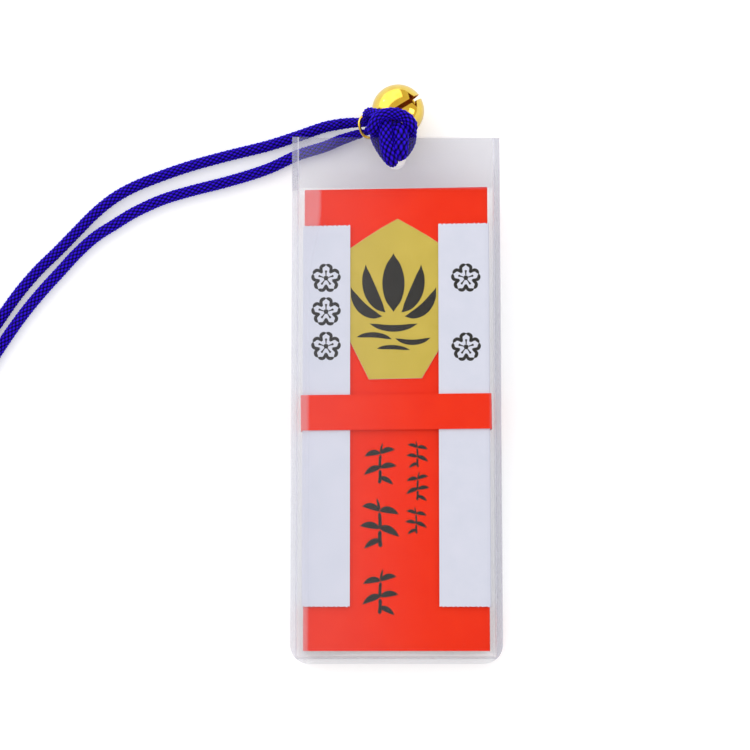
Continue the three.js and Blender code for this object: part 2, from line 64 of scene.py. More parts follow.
bpy.context.scene.camera = camera

# Cord: one round braid of sixteen royal blue yarns, 1.8 mm thick, doubled. Its bend is
# tied through the sleeve's hole, and both strands lie loose to the left, on the surface.
# Places on the cord are measured from the foot of the middle of the sleeve's mouth.
CORD_DIAMETER = 0.0018
YARNS_EACH_WAY = 8
YARN_FLOAT = 0.00095
YARN_RELIEF = 0.00024
CORD_BLUE = (0.036, 0.005, 0.86, 1)
CORD_SHADE = (0.001, 0.0, 0.010, 1)
# The spacing of the rings that the tubes are made of
HITCH_STEP = 0.000085
TAIL_STEP = 0.00012
STRAND_STEP = 0.00009

bell_low, bell_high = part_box("bell_shell")
bell_middle = (bell_low + bell_high) / 2
bell_radius = (bell_high.z - bell_low.z) / 2
BELL_BEYOND_MOUTH = 0.00557
mouth_foot = Vector((0, bell_middle.y - BELL_BEYOND_MOUTH, 0))

UPPER_ROUTE = [
    (-0.0083, 0.00428, 0.00146), (-0.0094, 0.0042, 0.00115), (-0.0107, 0.0040, 0.00095),
    (-0.0154, 0.00235, 0.0009), (-0.0196, 0.00095, 0.0009), (-0.0254, -0.00055, 0.0009),
    (-0.0312, -0.0022, 0.0009), (-0.0356, -0.00375, 0.0009), (-0.0400, -0.0056, 0.0009),
    (-0.0429, -0.0073, 0.0009), (-0.0457, -0.00965, 0.0009), (-0.0485, -0.01265, 0.0009),
    (-0.0513, -0.0157, 0.0009), (-0.0542, -0.0187, 0.0009), (-0.0570, -0.0222, 0.0009),
    (-0.0597, -0.0263, 0.0009), (-0.0622, -0.0304, 0.0009), (-0.0643, -0.0348, 0.0009),
    (-0.0658, -0.0394, 0.0009), (-0.0667, -0.0440, 0.0011), (-0.0671, -0.0482, 0.0019),
    (-0.06725, -0.0510, 0.0026),
]
LOWER_ROUTE = [
    (-0.00869, 0.0018, 0.0009), (-0.01065, 0.0009, 0.0009), (-0.0149, -0.0005, 0.0009),
    (-0.0195, -0.0027, 0.0009), (-0.0254, -0.00465, 0.0009), (-0.0312, -0.0062, 0.0009),
    (-0.0355, -0.00755, 0.0009), (-0.0399, -0.00965, 0.0009), (-0.0427, -0.01145, 0.0009),
    (-0.0456, -0.0134, 0.0009), (-0.0483, -0.01595, 0.0009), (-0.0509, -0.01895, 0.0009),
    (-0.0536, -0.0221, 0.0009), (-0.0562, -0.0255, 0.0009), (-0.0586, -0.0291, 0.0009),
    (-0.0608, -0.0328, 0.0009), (-0.0626, -0.0366, 0.0009), (-0.0639, -0.0406, 0.0009),
    (-0.06475, -0.0446, 0.0011), (-0.06515, -0.0483, 0.0019), (-0.0653, -0.0510, 0.0026),
]
HITCH_ROUTE = [
    (-0.0080, 0.0043, 0.0015), (-0.0067, 0.0044, 0.0017), (-0.0054, 0.00428, 0.00215),
    (-0.00452, 0.00414, 0.00295), (-0.00428, 0.00424, 0.0040), (-0.00438, 0.00455, 0.0052),
    (-0.00405, 0.00465, 0.0062), (-0.00335, 0.0042, 0.0072), (-0.00245, 0.00325, 0.00815),
    (-0.00175, 0.00215, 0.00875), (-0.0015, 0.00115, 0.0091), (-0.00147, 0.0001, 0.0093),
    (-0.00134, -0.0012, 0.00925), (-0.0010, -0.0025, 0.00908), (-0.00063, -0.00344, 0.0086),
    (-0.00048, -0.00372, 0.00775), (-0.00068, -0.0035, 0.0069), (-0.0012, -0.00285, 0.00645),
    (-0.0020, -0.00175, 0.0064), (-0.0027, -0.0006, 0.00655), (-0.00308, 0.0002, 0.0067),
    (-0.00325, 0.00085, 0.0073), (-0.0033, 0.00115, 0.0082), (-0.00325, 0.0015, 0.0092),
    (-0.00285, 0.0024, 0.0100), (-0.00175, 0.0030, 0.0102), (-0.0004, 0.0032, 0.0099),
    (0.00095, 0.00295, 0.00955), (0.0019, 0.0023, 0.0093), (0.00232, 0.0016, 0.00895),
    (0.00242, 0.00115, 0.0082), (0.00242, 0.00085, 0.0073), (0.00238, 0.0002, 0.0067),
    (0.0022, -0.0005, 0.0066), (0.00175, -0.0013, 0.00642), (0.00115, -0.0021, 0.0064),
    (0.00068, -0.00256, 0.0069), (0.00055, -0.00267, 0.00775), (0.0006, -0.00246, 0.0086),
    (0.0007, -0.0018, 0.0091), (0.00074, -0.0009, 0.0092), (0.0007, 0.0001, 0.00925),
    (0.00042, 0.0010, 0.00865), (-0.0004, 0.00168, 0.0076), (-0.00165, 0.0021, 0.00695),
    (-0.00275, 0.0025, 0.0063), (-0.00355, 0.00272, 0.0052), (-0.0039, 0.00274, 0.0039),
    (-0.0043, 0.00268, 0.00275), (-0.0051, 0.00268, 0.00175), (-0.0062, 0.0026, 0.00115),
    (-0.0074, 0.00225, 0.00092), (-0.0084, 0.0019, 0.0009),
]
# Places along the hitch and the cord's thickness there: full where it shows in the knot,
# squeezed where it passes itself or goes through the hole, nipped beside the shackle.
HITCH_THICKNESS = [
    (0, 0.0018), (0.004, 0.00147), (0.0088, 0.00147), (0.0109, 0.0023), (0.0179, 0.0023),
    (0.0191, 0.00147), (0.0251, 0.00147), (0.0262, 0.0021), (0.0274, 0.0021), (0.0286, 0.0017),
    (0.0346, 0.002), (0.036, 0.00155), (0.0413, 0.00147), (0.0427, 0.0024), (0.0476, 0.0026),
    (0.0488, 0.00147), (0.0542, 0.00147), (0.0551, 0.0012), (0.0559, 0.0012), (0.0568, 0.0015),
    (0.0602, 0.0018),
]


def smooth_route(points, spacing):
    """Evenly spaced points on one smooth curve through the route's own points."""
    route = [mouth_foot + Vector(p) for p in points]
    route = [2 * route[0] - route[1], *route, 2 * route[-1] - route[-2]]
    dense = []
    for before, start, end, after in zip(route, route[1:], route[2:], route[3:]):
        first, middle, last = (
            math.sqrt((b - a).length) for a, b in ((before, start), (start, end), (end, after))
        )
        leaving = (start - before) / first - (end - before) / (first + middle) + (end - start) / middle
        arriving = (end - start) / middle - (after - start) / (middle + last) + (after - end) / last
        handles = (start + leaving * middle / 3, end - arriving * middle / 3)
        dense += interpolate_bezier(start, *handles, end, 24)[:-1]
    dense.append(route[-2])
    line = np.array(dense)
    along = np.concatenate([[0], np.cumsum(np.linalg.norm(np.diff(line, axis=0), axis=1))])
    even = np.linspace(0, along[-1], max(2, round(along[-1] / spacing) + 1))
    return np.stack([np.interp(even, along, line[:, axis]) for axis in range(3)], axis=1), along[-1]


def frames_along(line):
    """Two directions square to the line at each point, carried along it without twisting."""
    tangents = np.gradient(line, axis=0)
    tangents /= np.linalg.norm(tangents, axis=1)[:, None]
    normals = np.empty_like(line)
    normal = np.cross(tangents[0], (0.0, 0.0, 1.0))
    for i, tangent in enumerate(tangents):
        normal = normal - tangent * normal.dot(tangent)
        normal /= np.linalg.norm(normal)
        normals[i] = normal
    return normals, np.cross(tangents, normals)


def braid_height(around, along):
    """How high the braid's top yarn stands, from 0 in the crossings to 1 on its back."""
    right = YARNS_EACH_WAY * around + along / YARN_FLOAT
    left = YARNS_EACH_WAY * around - along / YARN_FLOAT
    right_on_top = (np.floor(right) + np.floor(left)) % 2 == 0
    across = np.where(right_on_top, right, left) % 1
    lengthways = np.where(right_on_top, left, right) % 1
    return np.sin(math.pi * across) ** 0.6 * (0.3 + 0.7 * np.sin(math.pi * lengthways) ** 0.8)


def put_in_scene(name, mesh, body, material, replaced=(), smooth_angle=40):
    """A finished mesh as a piece that rides on a body, with soft shading below an angle."""
    mesh.name = name
    mesh.materials.clear()
    mesh.materials.append(material)
    mesh.polygons.foreach_set("use_smooth", [True] * len(mesh.polygons))
    mesh.set_sharp_from_angle(angle=math.radians(smooth_angle))
    piece = bpy.data.objects.new(name, mesh)
    bpy.context.scene.collection.objects.link(piece)
    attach(piece, body)
    if replaced:
        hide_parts(*replaced)
    return piece


def braided_cord(name, line, diameters, body, replaced=(), sides=44):
    """A round braid along a line: a grid, rolled round the line and raised by the yarns."""
    rings = len(line)
    grid = bmesh.new()
    grid.loops.layers.uv.new("UVMap")
    bmesh.ops.create_grid(grid, x_segments=rings - 1, y_segments=sides, size=0.5, calc_uvs=True)
    mesh = bpy.data.meshes.new(name)
    grid.to_mesh(mesh)
    grid.free()
    flat = np.empty(len(mesh.vertices) * 3)
    mesh.vertices.foreach_get("co", flat)
    flat = flat.reshape(-1, 3) + 0.5
    ring = np.rint(flat[:, 0] * (rings - 1)).astype(int)
    around = np.rint(flat[:, 1] * sides) / sides % 1
    length = np.concatenate([[0], np.cumsum(np.linalg.norm(np.diff(line, axis=0), axis=1))])
    height = braid_height(around, length[ring])
    radius = (np.zeros(rings) + diameters)[ring] / 2 - YARN_RELIEF * (1 - height)
    normals, binormals = frames_along(line)
    turn = (2 * math.pi * around)[:, None]
    spoke = np.cos(turn) * normals[ring] + np.sin(turn) * binormals[ring]
    mesh.vertices.foreach_set("co", (line[ring] + spoke * radius[:, None]).ravel())
    mesh.attributes.new("height", "FLOAT", "POINT").data.foreach_set("value", height)
    tube = bmesh.new()
    tube.from_mesh(mesh)
    seam = [v for edge in tube.edges if edge.is_boundary for v in edge.verts]
    bmesh.ops.remove_doubles(tube, verts=list(set(seam)), dist=1e-7)
    bmesh.ops.holes_fill(tube, edges=[e for e in tube.edges if e.is_boundary], sides=0)
    bmesh.ops.recalc_face_normals(tube, faces=tube.faces)
    tube.to_mesh(mesh)
    tube.free()
    return put_in_scene(name, mesh, body, cord_braid, replaced, 60)


def new_material(name, **inputs):
    """A material with its own shader, whose plain values are set on the shader's sockets."""
    material = bpy.data.materials.new(name)
    material.use_nodes = True
    shader = material.node_tree.nodes["Principled BSDF"]
    for socket, value in inputs.items():
        shader.inputs[socket.replace("_", " ")].default_value = value
    return material, shader, material.node_tree.nodes, material.node_tree.links


def add_node(nodes, kind, **settings):
    """A shader node; a setting in capitals is an input's value, the rest are the node's own."""
    node = nodes.new(kind)
    for key, value in settings.items():
        if key[0].isupper():
            node.inputs[key.replace("_", " ")].default_value = value
        else:
            setattr(node, key, value)
    return node


def grain(shader, scale, detail, **noise):
    """Cloudy values from 0 to 1, which keep their place on the piece."""
    tree = shader.id_data
    where = add_node(tree.nodes, "ShaderNodeTexCoord")
    clouds = add_node(tree.nodes, "ShaderNodeTexNoise", Scale=scale, Detail=detail, **noise)
    tree.links.new(where.outputs["Object"], clouds.inputs["Vector"])
    return clouds.outputs["Fac"]


def tones(value, shader, *stops, socket="Base Color"):
    """Colours a shader by a value. A stop is a place from 0 to 1 and the colour there."""
    tree = shader.id_data
    colours = add_node(tree.nodes, "ShaderNodeValToRGB")
    for element, (position, colour) in zip(colours.color_ramp.elements, stops):
        element.position = position
        element.color = colour
    tree.links.new(value, colours.inputs["Fac"])
    tree.links.new(colours.outputs["Color"], shader.inputs[socket])


def bumps(height, shader, strength, distance):
    """Roughens a shader's surface by a value."""
    tree = shader.id_data
    bump = add_node(tree.nodes, "ShaderNodeBump", Strength=strength, Distance=distance)
    tree.links.new(height, bump.inputs["Height"])
    tree.links.new(bump.outputs["Normal"], shader.inputs["Normal"])


# The yarns are dyed evenly, so the colour only deepens between them, where light is lost
cord_braid, shader, nodes, _ = new_material(
    "cord_braid", Roughness=0.6, Specular_IOR_Level=0.06,
    Sheen_Weight=0.03, Sheen_Roughness=0.4, Sheen_Tint=(0.15, 0.08, 1, 1),
)
yarn_height = add_node(nodes, "ShaderNodeAttribute", attribute_name="height")
tones(yarn_height.outputs["Fac"], shader, (0.34, CORD_SHADE), (0.93, CORD_BLUE))
bumps(grain(shader, 9000, 3), shader, 0.35, 0.00002)

# Hitch: it begins and ends at the first points of the two strands, so the cord is unbroken
hitch_points = [UPPER_ROUTE[0], *HITCH_ROUTE[1:-1], LOWER_ROUTE[0]]
hitch_line, hitch_length = smooth_route(hitch_points, HITCH_STEP)
places, diameters = zip(*HITCH_THICKNESS)
hitch_diameters = np.interp(np.linspace(0, hitch_length, len(hitch_line)), places, diameters)
braided_cord("lark_head_hitch", hitch_line, hitch_diameters, "sleeve", ["cord_hitch"])

# End knot: the two strands' ends are wound round each other and tucked through, and leave
# as two short tails. It lies on the surface past the photograph's left side.
KNOT_TURNS = 1.3
KNOT_WRAP_RADIUS = 0.00163
KNOT_ENTRY = 0.0016
KNOT_TAIL = 0.0062
strand_ends = [Vector(route[-1]) for route in (UPPER_ROUTE, LOWER_ROUTE)]
knot_start = (strand_ends[0] + strand_ends[1]) / 2


def knot_route(side):
    """One strand's way through the knot; side is 1 for one strand and -1 for the other."""
    half_gap = (strand_ends[1] - strand_ends[0]).length / 2
    wrap_start = KNOT_ENTRY + CORD_DIAMETER / 2
    wrap_end = wrap_start + 2 * CORD_DIAMETER * KNOT_TURNS
    middle = (wrap_start + wrap_end) / 2
    places = [(half_gap, 0, 0), (half_gap, KNOT_ENTRY, 0), (half_gap / 2, middle, 0)]
    places = [(side * x, y, z) for x, y, z in places]
    steps = round(12 * KNOT_TURNS)
    for i in range(steps + 1):
        angle = side * math.pi / 2 + 2 * math.pi * KNOT_TURNS * i / steps
        place = wrap_end + (wrap_start - wrap_end) * i / steps
        places.append((KNOT_WRAP_RADIUS * math.cos(angle), place, KNOT_WRAP_RADIUS * math.sin(angle)))
    tail_end = wrap_end + KNOT_TAIL
    drop = 0.55 * CORD_DIAMETER - knot_start.z
    places += [
        (-side * half_gap / 2, middle, 0),
        (-side * half_gap, wrap_end + CORD_DIAMETER / 2, drop / 4),
        (-side * half_gap * 1.5, (wrap_end + tail_end) / 2, 0.94 * drop),
        (-side * half_gap * 1.6, tail_end, drop),
    ]
    return [knot_start + Vector((x, -y, z)) for x, y, z in places]


upper_tail_line, _ = smooth_route(knot_route(-1), TAIL_STEP)
lower_tail_line, _ = smooth_route(knot_route(1), TAIL_STEP)
knot_node = ["cord_end_knot"]
upper_tail = braided_cord("end_knot_upper", upper_tail_line, CORD_DIAMETER, "sleeve", knot_node)
lower_tail = braided_cord("end_knot_lower", lower_tail_line, CORD_DIAMETER, "sleeve", knot_node)

for name, route, node, tail in (
    ("strand_upper", UPPER_ROUTE, "cord_strand_upper", upper_tail),
    ("strand_lower", LOWER_ROUTE, "cord_strand_lower", lower_tail),
):
    line, length = smooth_route(route, STRAND_STEP)
    strand = braided_cord(name, line, CORD_DIAMETER, "sleeve", [node])

# Bell: a gilt brass jingle bell, 8 mm across, pressed from thin sheet. Its end is sawn down
# to the middle, a shorter wedge crosses the cut, and a loose steel ball lies inside.
BELL_WALL = 0.00035
SLOT_WIDTH = 0.0007
SLOT_HALF_SPAN = math.radians(88)
WEDGE_WIDTH = 0.0014
WEDGE_HALF_SPAN = math.radians(19)
LIP_ROUNDING = 0.00005
GILT = (0.97, 0.72, 0.12, 1)
TARNISHED_GILT = (0.93, 0.64, 0.09, 1)
slot_pole = Vector((0.56, 0.18, 0.81)).normalized()
slot_along = Vector((0.63, 0.54, -0.56))


def facing(along, across):
    """A turn that takes Z to the first direction and X as near as it can to the second."""
    x = (across - along * across.dot(along)).normalized()
    return Matrix((x, along.cross(x), along)).transposed().to_4x4()


def with_modifiers(mesh, settings):
    """The mesh after its modifiers, applied in order."""
    holder = bpy.data.objects.new("holder", mesh)
    bpy.context.scene.collection.objects.link(holder)
    for kind, values in settings:
        modifier = holder.modifiers.new(kind, kind)
        for key, value in values.items():
            setattr(modifier, key, value)
    graph = bpy.context.evaluated_depsgraph_get()
    done = bpy.data.meshes.new_from_object(holder.evaluated_get(graph))
    bpy.data.objects.remove(holder)
    return done


def cutter(outline, low, high):
    """A block with the outline, from the low to the high level, that a piece is cut with."""
    block = bmesh.new()
    face = block.faces.new([block.verts.new((x, y, low)) for x, y in outline])
    walls = bmesh.ops.extrude_face_region(block, geom=[face])["geom"]
    top = [v for v in walls if isinstance(v, bmesh.types.BMVert)]
    bmesh.ops.translate(block, vec=(0, 0, high - low), verts=top)
    bmesh.ops.recalc_face_normals(block, faces=block.faces)
    mesh = bpy.data.meshes.new("cutter")
    block.to_mesh(mesh)
    block.free()
    holder = bpy.data.objects.new("cutter", mesh)
    bpy.context.scene.collection.objects.link(holder)
    return holder


saw_reach = 2 * bell_radius
saw_base = bell_radius * math.cos(SLOT_HALF_SPAN)
wedge_reach = bell_radius * math.sin(WEDGE_HALF_SPAN)
slot_outline = [
    (-saw_reach, -SLOT_WIDTH / 2), (saw_reach, -SLOT_WIDTH / 2),
    (saw_reach, SLOT_WIDTH / 2), (-saw_reach, SLOT_WIDTH / 2),
]
wedge_outline = [(0, -wedge_reach), (WEDGE_WIDTH / 2, 0), (0, wedge_reach), (-WEDGE_WIDTH / 2, 0)]
cutters = [cutter(outline, saw_base, saw_reach) for outline in (slot_outline, wedge_outline)]

shell = bmesh.new()
bmesh.ops.create_uvsphere(shell, u_segments=96, v_segments=64, radius=bell_radius)
hollow_radius = bell_radius - BELL_WALL
inner = bmesh.ops.create_uvsphere(shell, u_segments=72, v_segments=48, radius=hollow_radius)
inner_faces = list({face for vert in inner["verts"] for face in vert.link_faces})
bmesh.ops.reverse_faces(shell, faces=inner_faces)
shell_mesh = bpy.data.meshes.new("bell")
shell.to_mesh(shell_mesh)
shell.free()
shell_mesh = with_modifiers(shell_mesh, [
    ("BOOLEAN", {"object": cutters[0], "operation": "DIFFERENCE", "solver": "EXACT"}),
    ("BOOLEAN", {"object": cutters[1], "operation": "DIFFERENCE", "solver": "EXACT"}),
    ("BEVEL", {
        "width": LIP_ROUNDING, "segments": 2, "limit_method": "ANGLE",
        "angle_limit": math.radians(50),
    }),
])
for block in cutters:
    bpy.data.objects.remove(block)
shell_mesh.transform(facing(slot_pole, slot_along))
shell_mesh.transform(Matrix.Translation(bell_middle))

# It is gilt and a little tarnished, and thin enough to have taken some shallow dents
gilt, shader, nodes, links = new_material(
    "gilt", Metallic=1.0, Coat_Weight=0.35, Coat_Roughness=0.05
)
tarnish = grain(shader, 900, 4)
tones(tarnish, shader, (0.35, TARNISHED_GILT), (0.6, GILT))
gilt_gloss = add_node(nodes, "ShaderNodeMapRange", To_Min=0.06, To_Max=0.16)
links.new(tarnish, gilt_gloss.inputs["Value"])
links.new(gilt_gloss.outputs["Result"], shader.inputs["Roughness"])
bumps(grain(shader, 420, 1), shader, 0.3, 0.00006)
put_in_scene("jingle_bell", shell_mesh, "bell", gilt, ["bell_shell"])

# Its inside was never polished, so it is dull and orange, and takes up the light in the cuts
bare_brass, shader, _, _ = new_material("bare_brass", Roughness=0.6)
tones(grain(shader, 700, 4), shader, (0, (0.90, 0.30, 0.02, 1)), (1, (0.98, 0.46, 0.05, 1)))
shell_mesh.materials.append(bare_brass)
for face in shell_mesh.polygons:
    depth = bell_radius - (face.center - bell_middle).length
    face.material_index = 1 if depth > 0.9 * BELL_WALL else 0

# Shackle and jump ring: both are bent from 0.45 mm gilt wire. The shackle is brazed to the
# bell, a little off the slots' axis, and the open ring hangs in it with the cord inside.
WIRE = 0.00045
SHACKLE_HALF_WIDTH = 0.00075
SHACKLE_REACH = 0.00075
RING_RADIUS = 0.00175
RING_GAP = math.radians(4)
RING_GAP_PLACE = 0.7 * math.pi
shackle_away = Vector((-0.72, -0.44, -0.54)).normalized()
ring_across = Vector((-0.70, -0.01, 0.71)).normalized()


def wire_section(bm, middle, normal):
    """The round end of a wire, square to the given direction."""
    end = bmesh.ops.create_circle(bm, cap_ends=True, segments=14, radius=WIRE / 2)["verts"]
    turn = Vector((0, 0, 1)).rotation_difference(normal).to_matrix().to_4x4()
    bmesh.ops.transform(bm, matrix=Matrix.Translation(middle) @ turn, verts=end)
    return list({face for vert in end for face in vert.link_faces})


def drawn_on(bm, faces, vec):
    """Draws the wire's end straight on and returns its new end face."""
    new = bmesh.ops.extrude_face_region(bm, geom=faces)["geom"]
    bmesh.ops.delete(bm, geom=faces, context="FACES_ONLY")
    bmesh.ops.translate(bm, vec=vec, verts=[v for v in new if isinstance(v, bmesh.types.BMVert)])
    return [f for f in new if isinstance(f, bmesh.types.BMFace)]


def finished(bm, transform):
    """The closed mesh of a wire piece, faces out, in its place."""
    bmesh.ops.remove_doubles(bm, verts=bm.verts, dist=1e-7)
    bmesh.ops.recalc_face_normals(bm, faces=bm.faces)
    bmesh.ops.transform(bm, matrix=transform, verts=bm.verts)
    mesh = bpy.data.meshes.new("wire")
    bm.to_mesh(mesh)
    bm.free()
    return mesh


shackle = bmesh.new()
leg_foot = bell_radius - WIRE / 4
eye = bell_radius + SHACKLE_REACH
end = wire_section(shackle, Vector((SHACKLE_HALF_WIDTH, 0, leg_foot)), Vector((0, 0, 1)))
bmesh.ops.duplicate(shackle, geom=end)
top = drawn_on(shackle, end, Vector((0, 0, eye - leg_foot)))
bent = bmesh.ops.spin(
    shackle, geom=top, cent=(0, 0, eye), axis=(0, -1, 0), angle=math.pi, steps=20,
    use_duplicate=False,
)["geom_last"]
bmesh.ops.delete(shackle, geom=top, context="FACES_ONLY")
bent = [f for f in bent if isinstance(f, bmesh.types.BMFace)]
drawn_on(shackle, bent, Vector((0, 0, leg_foot - eye)))
place = Matrix.Translation(bell_middle) @ facing(shackle_away, ring_across)
put_in_scene("shackle", finished(shackle, place), "bell", gilt, ["bell_shackle"])

ring = bmesh.new()
end = wire_section(ring, Vector((RING_RADIUS, 0, 0)), Vector((0, 1, 0)))
bmesh.ops.duplicate(ring, geom=end)
bmesh.ops.spin(
    ring, geom=end, cent=(0, 0, 0), axis=(0, 0, 1), angle=2 * math.pi - RING_GAP, steps=64,
    use_duplicate=False,
)
bmesh.ops.delete(ring, geom=end, context="FACES_ONLY")
ring_joint = next(joint for joint in frame["joints"] if joint["name"] == "ring_swing")
ring_middle = Vector(ring_joint["pos_m"])
ring_turn = facing(Vector(ring_joint["axis"]), ring_across)
ring_turn = ring_turn @ Matrix.Rotation(RING_GAP_PLACE, 4, "Z")
ring_mesh = finished(ring, Matrix.Translation(ring_middle) @ ring_turn)
put_in_scene("jump_ring", ring_mesh, "ring", gilt, ["bell_ring"])

# Rattle ball: plain steel, seen only through the slots
steel, shader, _, _ = new_material("steel", Metallic=1.0, Roughness=0.35)
tones(grain(shader, 2500, 3), shader, (0, (0.3, 0.3, 0.31, 1)), (1, (0.6, 0.6, 0.62, 1)))
frame["nodes"]["bell_pellet"].data.materials.clear()
frame["nodes"]["bell_pellet"].data.materials.append(steel)

# Packet: it is made flat about its own middle, then laid in the sleeve's slant. The sheets
# are counted outwards from the board slip that they are wrapped round.
slip_low, slip_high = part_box("talisman_slip")
packet_middle = (slip_low + slip_high) / 2
slide = next(joint for joint in frame["joints"] if joint["name"] == "packet_slide")
slant = math.atan2(slide["axis"][2], slide["axis"][1])
laid = Matrix.Translation(packet_middle) @ Matrix.Rotation(slant, 4, "X")

PACKET_LENGTH = 0.0682
PACKET_HALF = 0.0136
SLIP_HALF = 0.00075
PAPER = 0.00016
LAYER_GAP = 0.00004
PLAQUE_PAPER = 0.0001
BAND_SLACK = 0.00008
SEAM_LAP = 0.005
PAPER_STEP = 0.0002
red_outer = SLIP_HALF + LAYER_GAP + PAPER
red_lap_outer = red_outer + LAYER_GAP + PAPER
plaque_inner = red_outer + LAYER_GAP
flap_outer = plaque_inner + PLAQUE_PAPER + LAYER_GAP + PAPER
band_outer = flap_outer + LAYER_GAP + PAPER
white_back_outer = red_lap_outer + LAYER_GAP + PAPER
band_back_outer = white_back_outer + LAYER_GAP + PAPER
band_lap_outer = band_back_outer + LAYER_GAP + PAPER
white_half = PACKET_HALF + LAYER_GAP + PAPER
band_half = white_half + BAND_SLACK + PAPER


def paper_material(name, colour, deep, roughness, fibre_strength, metallic=0.0):
    """Paper: a dyed or faced sheet with a faint cloudy tone and short fibres."""
    material, shader, _, _ = new_material(
        name, Roughness=roughness, Metallic=metallic, Specular_IOR_Level=0.12
    )
    tones(grain(shader, 260, 5, Roughness=0.65), shader, (0.3, deep), (0.68, colour))
    bumps(grain(shader, 5200, 4, Roughness=0.7), shader, fibre_strength, 0.00002)
    return material


board = paper_material("board", (0.62, 0.47, 0.29, 1), (0.52, 0.38, 0.22, 1), 0.8, 0.4)
red_paper = paper_material("red_paper", (0.95, 0.036, 0.008, 1), (0.91, 0.028, 0.006, 1), 0.6, 0.3)
white_paper = paper_material("white_paper", (0.75, 0.76, 0.87, 1), (0.71, 0.73, 0.84, 1), 0.7, 0.3)
gold_paper = paper_material(
    "gold_paper", (0.67, 0.52, 0.10, 1), (0.61, 0.47, 0.085, 1), 0.5, 0.35, metallic=0.1
)
frame["nodes"]["talisman_slip"].data.materials.clear()
frame["nodes"]["talisman_slip"].data.materials.append(board)


def folded_paper(
    name, corners, foot, head, material, node, rough_cut=0.0, head_slant=0.0, turn=0.0
):
    """A folded sheet: a grid whose width follows the fold line and whose length runs from
    foot to head. The folds are rounded, a rough edge wanders, and the head is cut askew."""
    path = np.array(corners)
    steps = np.linalg.norm(np.diff(path, axis=0), axis=1)
    along = np.concatenate([[0], np.cumsum(steps)])
    even = np.linspace(0, along[-1], round(along[-1] / PAPER_STEP) + 1)
    line = np.stack([np.interp(even, along, path[:, axis]) for axis in range(2)], axis=1)
    rounded = line.copy()
    rounded[1:-1] = (line[:-2] + 2 * line[1:-1] + line[2:]) / 4
    rows = 36
    grid = bmesh.new()
    bmesh.ops.create_grid(grid, x_segments=len(line) - 1, y_segments=rows, size=0.5)
    for vert in grid.verts:
        column = round((vert.co.x + 0.5) * (len(line) - 1))
        share = vert.co.y + 0.5
        wander = rough_cut * math.sin(2.1 * column) * math.sin(0.37 * column + 1)
        wander *= abs(2 * share - 1) ** 40
        x, z = rounded[column]
        vert.co = (x, foot + (head - foot + head_slant * x) * share + wander, z)
    middle = (0, (foot + head) / 2, 0)
    bmesh.ops.rotate(grid, cent=middle, matrix=Matrix.Rotation(turn, 3, "Z"), verts=grid.verts)
    bmesh.ops.transform(grid, matrix=laid, verts=grid.verts)
    mesh = bpy.data.meshes.new(name)
    grid.to_mesh(mesh)
    grid.free()
    mesh = with_modifiers(mesh, [
        ("SOLIDIFY", {"thickness": PAPER, "offset": 0, "use_even_offset": True}),
    ])
    return put_in_scene(name, mesh, "packet", material, [node])


def wrapped(half, front, back, lap):
    """The fold line of a sheet that goes once round the packet and laps over itself behind."""
    side, sheet = half - PAPER / 2, PAPER / 2
    return [
        (SEAM_LAP / 2, -back + sheet), (-side, -back + sheet), (-side, front - sheet),
        (side, front - sheet), (side, -lap + sheet), (-SEAM_LAP / 2, -lap + sheet),
    ]


# Red wrapper: the packet's own sheet, dyed red, folded once round the slip
packet_foot = -PACKET_LENGTH / 2
packet_head = PACKET_LENGTH / 2
red_sheet = folded_paper(
    "packet_wrapper", wrapped(PACKET_HALF, red_outer, red_outer, red_lap_outer),
    packet_foot, packet_head, red_paper, "red_wrapper", head_slant=0.018,
)

# Brushwork: ornament in black ink on three of the papers. Each stroke is a flat ribbon on a
# curve, just above its paper, and it is as wide as the brush was pressed.
INK_LIFT = 0.00001
ink, shader, _, _ = new_material("ink", Roughness=0.55, Specular_IOR_Level=0.3)
tones(
    grain(shader, 900, 4), shader, (0, (0.016, 0.016, 0.018, 1)), (1, (0.042, 0.042, 0.046, 1))
)


def ink_on(piece, level, motifs):
    """Adds strokes to a sheet. A motif is its strokes, its middle and its size; a stroke is
    its start, the point it bends towards, its end and its three widths."""
    sheet = bmesh.new()
    sheet.from_mesh(piece.data)
    steps = 18
    for strokes, middle, size in motifs:
        for *points, widths in strokes:
            start, bend, end = (Vector(middle) + Vector(point) * size for point in points)
            rows = []
            for i in range(steps + 1):
                share = i / steps
                before, after = start.lerp(bend, share), bend.lerp(end, share)
                place, onward = before.lerp(after, share), after - before
                side = Vector((-onward.y, onward.x)).normalized()
                first, middle_width, last = widths
                swell = 2 * middle_width - (first + last) / 2
                width = (1 - share) ** 2 * first + 2 * share * (1 - share) * swell + share**2 * last
                width *= size * max(0.15, math.sqrt(min(1, share * 7, (1 - share) * 7)))
                rows.append([
                    sheet.verts.new(laid @ Vector((*(place + side * half), level + INK_LIFT)))
                    for half in (width / 2, -width / 2)
                ])
            for (left, right), (next_left, next_right) in zip(rows, rows[1:]):
                face = sheet.faces.new((left, right, next_right, next_left))
                face.material_index = len(piece.data.materials)
    sheet.to_mesh(piece.data)
    sheet.free()
    piece.data.materials.append(ink)


def both_sides(strokes):
    """The strokes and their mirror images."""
    return strokes + [[*((-x, y) for x, y in points), widths] for *points, widths in strokes]


